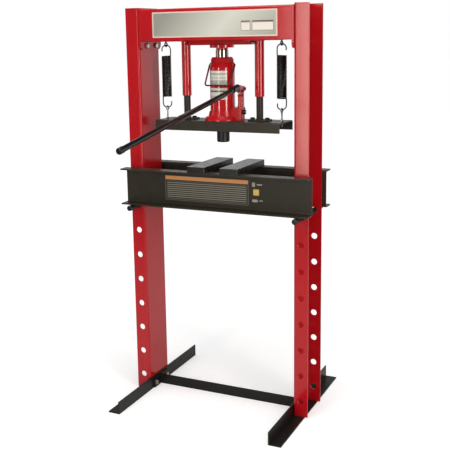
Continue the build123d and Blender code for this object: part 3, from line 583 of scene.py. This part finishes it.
def hookPoints(look, reach):
    # leaves the last turn along its tangent, rises beside the axis and bends round over the eye
    radius = look["coilRadius"]
    rise = reach - radius
    leaveX, leaveY = look["leave"]
    liftX, liftY, liftZ = look["lift"]
    points = [(radius * leaveX, radius * leaveY, 0.0), (radius, 0.0, 0.0),
              (radius * liftX, radius * liftY, rise * liftZ)]
    for step in range(look["hookSteps"] + 1):
        turn = radians(look["hookSweep"] * step / look["hookSteps"])
        points.append((radius * cos(turn), 0.0, rise + radius * sin(turn)))
    return points


def hookCurve(name, look):
    # both hooks of one spring, in millimetres around the coil's lower end
    curve = bpy.data.curves.new(name, "CURVE")
    curve.dimensions = "3D"
    length = look["coilHigh"] - look["coilLow"]
    lowReach = look["coilLow"] - look["lowerApex"]
    highReach = look["upperApex"] - look["coilHigh"]
    for reach, way, lift, turn in ((highReach, 1, length, 180.0), (lowReach, -1, 0.0, 0.0)):
        points = hookPoints(look, reach)
        spline = curve.splines.new("NURBS")
        spline.points.add(len(points) - 1)
        for point, (x, y, z) in zip(spline.points, points):
            place = Matrix.Rotation(radians(turn), 3, "Z") @ Vector((x, way * y, way * z))
            point.co = (place.x * mm, place.y * mm, (place.z + lift) * mm, 1.0)
        spline.order_u = 4
        spline.use_endpoint_u = True
        spline.resolution_u = 6
    return curve


closeCoil = springTree()
for side, name in ((-1, "left"), (1, "right")):
    made = grow(name + "ReturnCoil", hookCurve(name + "Hooks", spring), closeCoil, {
        "Turns": spring["turns"], "Coil radius": spring["coilRadius"] * mm,
        "Wire radius": spring["wireRadius"] * mm, "Length": (spring["coilHigh"] - spring["coilLow"]) * mm,
        "Steps": spring["stepsPerTurn"], "Sides": spring["sides"]}, springBlack, None)
    turn = Matrix.Rotation(radians(spring["hookTurn"] + (0 if side > 0 else 180)), 4, "Z")
    x = side * press["springSpread"] * mm
    made.data.transform(Matrix.Translation((x, 0, spring["coilLow"] * mm)) @ turn)
    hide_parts(name + "_return_spring")
    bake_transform(made)
print("springs made")


# threads: a fine ridge wound round each bolt end and eyebolt shank
# under m6, m10 and m12 stand radius, pitch and height of the nut
thread = {"stub": 3.0, "sides": 6, "stepsPerTurn": 20, "ridge": 0.30, "sink": 0.10, "gap": 0.3,
          "eyeGap": 0.2, "runOut": 0.4, "ringRoot": 4.0, "lowerEnd": 9.0, "upperEnd": 15.0,
          "upperRoot": 3.0, "rootGap": 0.1,
          "m6": (3.0, 1.0, 4.5), "m10": (5.0, 1.5, 6.5), "m12": (6.0, 1.75, 7.5)}


def threadTree():
    tree = GeoTree("threadRidge", {"Turns": "Float", "Radius": "Float", "Ridge": "Float", "Length": "Float",
                                   "Steps": "Int", "Sides": "Int", "Material": "Material"})
    given = tree.given
    ridge = sweptWire(tree, coilNode(tree, given, given["Radius"]), given["Sides"], given["Ridge"])
    axis = tree.node("GeometryNodeInputNamedAttribute", {"Name": "axis"}, data_type="FLOAT_VECTOR")
    turn = tree.node("FunctionNodeAlignRotationToVector", {"Vector": axis.outputs["Attribute"]}, axis="Z")
    placed = tree.node("GeometryNodeInstanceOnPoints", {"Points": given["Geometry"], "Instance": ridge,
                                                        "Rotation": turn.outputs[0]})
    tree.close(placed.outputs[0])
    return tree


def startPoints(name, starts, axes):
    # one vertex where each thread starts, with the way it runs as an attribute
    mesh = bpy.data.meshes.new(name)
    mesh.from_pydata([Vector(start) * mm for start in starts], [], [])
    run = mesh.attributes.new("axis", "FLOAT_VECTOR", "POINT")
    for item, axis in zip(run.data, axes):
        item.vector = axis
    return mesh


threadRidge = threadTree()


def threads(name, size, length, starts, axes, material, body):
    radius, pitch = thread[size][:2]
    turns = length / pitch - thread["runOut"]
    return grow(name, startPoints(name, starts, axes), threadRidge, {
        "Turns": turns, "Radius": (radius - thread["sink"]) * mm, "Ridge": thread["ridge"] * pitch * mm,
        "Length": turns * pitch * mm, "Steps": thread["stepsPerTurn"], "Sides": thread["sides"]},
        material, body)


sides = (-1, 1)
stub = thread["stub"] - thread["gap"]
for name, size, boltY, heights in (
        ("crossheadThreads", "m12", press["crossheadBoltY"], press["crossheadBoltZ"]),
        ("footThreads", "m10", press["footBoltY"], (press["footBoltZ"],))):
    outer = press["nutFace"] + thread[size][2] + thread["gap"]
    places = [(side * outer, y * boltY, z) for side in sides for y in sides for z in heights]
    threads(name, size, stub, places, [(place[0], 0, 0) for place in places], zincSteel, "frame")

low = press["carriageUnder"] - thread["m10"][2] - thread["gap"]
guides = [side * press["guideSpread"] for side in sides]
places = [(guide + edge * press["rodBolt"], 0, low) for guide in guides for edge in sides]
threads("guideRodThreads", "m10", stub, places, [(0, 0, -1)] * len(places), pinSteel, "carriage")

clear = thread["m6"][2] + thread["eyeGap"]
low = press["carriageTop"] + clear
high = press["lowerEye"] - press["eyeRadius"] - thread["ringRoot"]
end = press["carriageUnder"] - clear
root = press["tieUnder"] - thread["rootGap"]
for name, z, length, body, way, metal in (
        ("lowerEyeThreads", low, high - low, "carriage", 1, zincSteel),
        ("lowerEyeEndThreads", end, thread["lowerEnd"], "carriage", -1, zincSteel),
        ("upperEyeThreads", press["tieTop"] + clear, thread["upperEnd"], "frame", 1, pinSteel),
        ("upperEyeRootThreads", root, thread["upperRoot"], "frame", -1, pinSteel)):
    places = [(side * press["springSpread"], 0, z) for side in sides]
    threads(name, "m6", length, places, [(0, 0, way)] * len(places), metal, body)
print("threads made")


# weld beads: overlapping ripples laid along each seam, painted over with the rest
weld = {"pitch": 2.6, "half": 2.5, "smallPitch": 1.7, "smallHalf": 1.6, "unevenness": 0.10, "seed": 7,
        "ringSteps": 40, "segments": 8, "rings": 5, "under": 1.2, "endFoot": 3.0, "endHead": 8.0,
        "legGap": 3.0, "cornerGap": 2.0, "yokeRadius": 10.6}


def weldTree():
    tree = GeoTree("weldRipples", {"Pitch": "Float", "Half width": "Float", "Low": "Float", "High": "Float",
                                   "Seed": "Int", "Material": "Material"})
    given = tree.given
    points = tree.node("GeometryNodeCurveToPoints", {"Curve": given["Geometry"], "Length": given["Pitch"]},
                       mode="LENGTH")
    drop = tree.node("GeometryNodeMeshUVSphere", {"Radius": 1.0, "Segments": weld["segments"],
                                                  "Rings": weld["rings"]})
    spread = {2: given["Low"], 3: given["High"], "Seed": given["Seed"]}
    uneven = tree.node("FunctionNodeRandomValue", spread, data_type="FLOAT")
    across = tree.maths("MULTIPLY", uneven.outputs[1], given["Half width"])
    along = tree.maths("MULTIPLY", uneven.outputs[1], given["Pitch"])
    size = tree.node("ShaderNodeCombineXYZ", {"X": across, "Y": across, "Z": along})
    placed = tree.node("GeometryNodeInstanceOnPoints", {
        "Points": points.outputs[0], "Instance": shadeSmooth(tree, drop.outputs[0]),
        "Rotation": points.outputs["Rotation"], "Scale": size.outputs[0]})
    tree.close(placed.outputs[0])
    return tree


def seamCurve(name, seams):
    # poly splines through millimetre points; a ring is closed
    curve = bpy.data.curves.new(name, "CURVE")
    curve.dimensions = "3D"
    for points in seams:
        spline = curve.splines.new("POLY")
        spline.points.add(len(points) - 1)
        for point, place in zip(spline.points, points):
            point.co = (place[0] * mm, place[1] * mm, place[2] * mm, 1.0)
        spline.use_cyclic_u = len(points) > 2
    return curve


def ringSeam(x, z, radius):
    turns = [2 * pi * step / weld["ringSteps"] for step in range(weld["ringSteps"])]
    return [(x + radius * cos(turn), radius * sin(turn), z) for turn in turns]


weldRipples = weldTree()


def weldSeams(name, seams, material, body, small=False):
    half = weld["smallHalf" if small else "half"]
    pitch = weld["smallPitch" if small else "pitch"]
    return grow(name, seamCurve(name, seams), weldRipples, {
        "Pitch": pitch * mm, "Half width": half * mm, "Low": 1 - weld["unevenness"],
        "High": 1 + weld["unevenness"], "Seed": weld["seed"]}, material, body)


tieFaces = (press["tieUnder"], press["tieTop"])
webUnder = press["beamWebUnder"]
lip = press["beamBottom"] - weld["under"]
foot, head = press["beamBottom"] + weld["endFoot"], webUnder - weld["endHead"]
headSeams = [ringSeam(x, z, press["tubeRadius"]) for x in guides for z in tieFaces]
for side in sides:
    y = side * press["thrustHalf"]
    headSeams.append([(-press["tieStart"], y, webUnder), (press["tieStart"], y, webUnder)])
    y = side * press["beamInside"]
    for way in sides:
        headSeams.append([(way * press["tieStart"], y, lip), (way * press["tieEnd"], y, lip)])
        headSeams.append([(way * press["beamEnd"], y, foot), (way * press["beamEnd"], y, head)])
weldSeams("crossheadWelds", headSeams, redPaint, "frame")

rodTop = press["carriageTop"] + press["rodPlate"]
carriageSeams = [ringSeam(x, rodTop, press["rodRadius"]) for x in guides]
carriageSeams.append(ringSeam(0.0, press["carriageUnder"], press["pinRadius"]))
weldSeams("carriageWelds", carriageSeams, bedBlack, "carriage")

front, leg, wall = press["braceFront"], press["braceLeg"], press["braceWall"]
corner, toe = front + wall + weld["cornerGap"], front + leg - weld["cornerGap"]
bedFoot, bedHead = (press["bedMiddle"] + way * press["spacerWeld"] for way in sides)
lowSeams = []
for way in sides:
    x = way * press["braceEnd"]
    lowSeams.append([(x, front, weld["legGap"]), (x, front, leg - weld["legGap"])])
    lowSeams.append([(x, corner, wall), (x, toe, wall)])
    for side in sides:
        y = side * press["bedWeb"]
        for face in ("spacerInner", "spacerOuter"):
            x = way * press[face]
            lowSeams.append([(x, y, bedFoot), (x, y, bedHead)])
weldSeams("braceAndBedWelds", lowSeams, blackPaint, "frame")

tilt = Matrix.Rotation(radians(90 + press["handleSlope"]), 3, "X")
yokeRing = ringSeam(0.0, 0.0, weld["yokeRadius"])
yokeSeam = [tuple(tilt @ Vector(point) + Vector(press["socketEnd"])) for point in yokeRing]
weldSeams("yokeWeld", [yokeSeam], castRed, "handle_assembly", small=True)
print("welds made")


# camera at the photograph's angle
cameraLook = {
    "place": (1.28265, -2.79682, 1.39501), "azimuth": 25.710, "elevation": 10.773, "roll": -1.047,
    "focal": 830.2, "centreX": 208.93, "centreY": 193.56, "frame": 450.0, "sensor": 36.0,
}


def makeCamera(look):
    a, e, r = (radians(look[key]) for key in ("azimuth", "elevation", "roll"))
    ahead = Vector((-sin(a) * cos(e), cos(a) * cos(e), -sin(e)))
    right = Vector((cos(a), sin(a), 0.0))
    up = right.cross(ahead)
    across = right * cos(r) + up * sin(r)
    upward = up * cos(r) - right * sin(r)
    data = bpy.data.cameras.new("photoCamera")
    data.sensor_width = look["sensor"]
    data.lens = look["sensor"] * look["focal"] / look["frame"]
    data.shift_x = (look["frame"] / 2 - look["centreX"]) / look["frame"]
    data.shift_y = (look["centreY"] - look["frame"] / 2) / look["frame"]
    camera = bpy.data.objects.new("photoCamera", data)
    bpy.context.scene.collection.objects.link(camera)
    turn = Matrix((across, upward, -ahead)).transposed()
    camera.matrix_world = Matrix.Translation(look["place"]) @ turn.to_4x4()
    bpy.context.scene.camera = camera


makeCamera(cameraLook)

# pale floor and a white surround that lamps don't have to light
light = {
    "worldDiffuse": 0.50, "seenBehind": 1.0, "seenInFront": 0.12, "seenAbove": 0.30,
    "behindFade": (0.58, 0.86), "backdropEdge": (0.28, 0.38), "aboveFade": (0.55, 0.90),
    "floorSize": 12.0, "speck": (40.0, 3.0), "floorLow": 0.78, "floorHigh": 0.82,
    "floorGlow": (0.36, 0.62), "glowReach": (0.5, 3.5), "frontFade": (-2.6, -0.4), "frontShare": 0.25,
    "lamps": (
        {"name": "frontPanel", "azimuth": -10.3, "distance": 3.16, "height": 1.30, "aim": 1.1,
         "width": 0.36, "tall": 1.90, "power": 20.0, "warm": (1.0, 0.93, 0.84)},
        {"name": "sideStrip", "azimuth": 58.0, "distance": 2.9, "height": 1.35, "aim": 1.0,
         "width": 0.60, "tall": 2.10, "power": 34.0, "warm": (1.0, 0.93, 0.84)},
        {"name": "leftStrip", "azimuth": -70.0, "distance": 3.0, "height": 1.5, "aim": 1.0,
         "width": 0.8, "tall": 2.0, "power": 5.0, "warm": (1.0, 1.0, 1.0)},
        {"name": "overhead", "azimuth": 20.0, "distance": 0.6, "height": 3.3, "aim": 0.6,
         "width": 2.0, "tall": 2.0, "power": 46.0, "warm": (1.0, 1.0, 1.0)},
    ),
}


def makeWorld(look):
    # white to the camera; what gloss mirrors is white behind the press and dimmer on the camera's side
    world = bpy.data.worlds.new("studio")
    bpy.context.scene.world = world
    world.use_nodes = True
    tree = Tree(world.node_tree)
    path = tree.node("ShaderNodeLightPath").outputs
    coords = tree.node("ShaderNodeTexCoord").outputs["Generated"]
    ray = tree.node("ShaderNodeSeparateXYZ", {"Vector": coords}).outputs
    behind = remap(tree, ray["Y"], *look["behindFade"], look["seenInFront"], look["seenBehind"])
    low = remap(tree, ray["Z"], *look["backdropEdge"], 1.0, look["seenInFront"])
    above = remap(tree, ray["Z"], *look["aboveFade"], 0.0, look["seenAbove"])
    mirrored = tree.maths("MAXIMUM", tree.maths("MULTIPLY", behind, low), above)
    gloss = tree.maths("MAXIMUM", path["Is Glossy Ray"], path["Is Transmission Ray"])
    strength = tree.node("ShaderNodeMix", {0: gloss, 2: look["worldDiffuse"], 3: mirrored}).outputs[0]
    strength = tree.node("ShaderNodeMix", {0: path["Is Camera Ray"], 2: strength, 3: 1.0}).outputs[0]
    surround = tree.node("ShaderNodeBackground", {"Color": (1, 1, 1, 1), "Strength": strength})
    tree.node("ShaderNodeOutputWorld", {"Surface": surround.outputs[0]})


def makeLamps(look):
    for lamp in look["lamps"]:
        data = bpy.data.lights.new(lamp["name"], "AREA")
        data.shape = "RECTANGLE"
        data.size = lamp["width"]
        data.size_y = lamp["tall"]
        data.energy = lamp["power"]
        data.color = lamp["warm"]
        made = bpy.data.objects.new(lamp["name"], data)
        bpy.context.scene.collection.objects.link(made)
        turn = radians(lamp["azimuth"])
        place = Vector((sin(turn) * lamp["distance"], -cos(turn) * lamp["distance"], lamp["height"]))
        made.location = place
        made.rotation_euler = (Vector((0, 0, lamp["aim"])) - place).to_track_quat("-Z", "Y").to_euler()


def makeFloor(look):
    bm = bmesh.new()
    bmesh.ops.create_grid(bm, x_segments=1, y_segments=1, size=look["floorSize"])
    mesh = bpy.data.meshes.new("studioFloor")
    bm.to_mesh(mesh)
    bm.free()
    floor = bpy.data.objects.new("studioFloor", mesh)
    bpy.context.scene.collection.objects.link(floor)
    material = bpy.data.materials.new("studioFloor")
    material.use_nodes = True
    tree = Tree(material.node_tree)
    path = tree.node("ShaderNodeLightPath").outputs
    coords = objectCoords(tree)
    speck = noise(tree, coords, *look["speck"])
    low, high = look["floorLow"], look["floorHigh"]
    pale = tree.mixColour(speck, (low, low, low, 1), (high, high, high, 1))
    # in gloss the sweep of floor on the camera's side is dim, as under a studio's dark ceiling
    depth = tree.node("ShaderNodeSeparateXYZ", {"Vector": coords}).outputs[1]
    fade = remap(tree, depth, *look["frontFade"], look["frontShare"], 1.0)
    gloss = tree.maths("MAXIMUM", path["Is Glossy Ray"], path["Is Transmission Ray"])
    share = tree.node("ShaderNodeMix", {0: gloss, 2: 1.0, 3: fade}).outputs[0]
    matt = tree.node("ShaderNodeBsdfDiffuse", {"Color": tree.mixColour(share, (0, 0, 0, 1), pale)})
    away = tree.node("ShaderNodeVectorMath", {0: coords}, operation="LENGTH").outputs["Value"]
    glow = remap(tree, away, *look["glowReach"], *look["floorGlow"])
    glow = tree.maths("MULTIPLY", path["Is Camera Ray"], glow)
    lit = tree.node("ShaderNodeEmission", {"Color": (1, 1, 1, 1), "Strength": glow})
    both = tree.node("ShaderNodeAddShader")
    tree.tree.links.new(matt.outputs[0], both.inputs[0])
    tree.tree.links.new(lit.outputs[0], both.inputs[1])
    tree.node("ShaderNodeOutputMaterial", {"Surface": both.outputs[0]})
    mesh.materials.append(material)


makeWorld(light)
makeLamps(light)
makeFloor(light)
bpy.context.scene.view_settings.view_transform = "Standard"
print("studio made")
